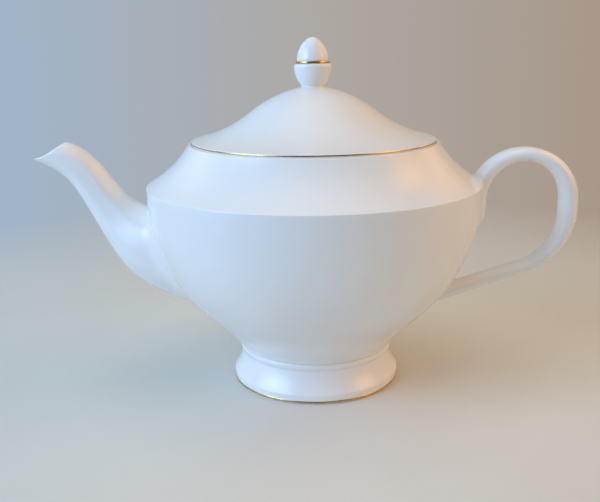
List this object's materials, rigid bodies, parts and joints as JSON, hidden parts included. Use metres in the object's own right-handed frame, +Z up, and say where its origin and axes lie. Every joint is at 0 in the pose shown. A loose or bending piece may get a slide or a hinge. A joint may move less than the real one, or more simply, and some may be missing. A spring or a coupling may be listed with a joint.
{
  "type": "teapot",
  "caption": "Footed white china teapot with a curved spout, loop handle and lift-off domed lid with an acorn-shaped knob and thin gilt lines.",
  "frame": {"origin": "on the pot's axis, in the plane of the foot's standing ring", "axes": "+Z up along the pot's axis, +X towards the handle and -X towards the spout"},
  "size_m": [0.263, 0.16, 0.1661],
  "materials": {
    "glazed_china": "glossy white glaze",
    "gilt": "burnished gilt"
  },
  "bodies": {
    "pot": {"pot_body": "glazed_china", "foot": "glazed_china", "spout": "glazed_china", "handle": "glazed_china", "foot_gilt_line": "gilt"},
    "lid": {"lid": "glazed_china", "finial": "glazed_china", "lid_gilt_line": "gilt", "finial_gilt_line": "gilt"}
  },
  "joints": [
    {"name": "lid_lift", "type": "slide", "parent": "pot", "child": "lid", "axis": [0, 0, 1], "range_m": [0, 0.08]}
  ]
}
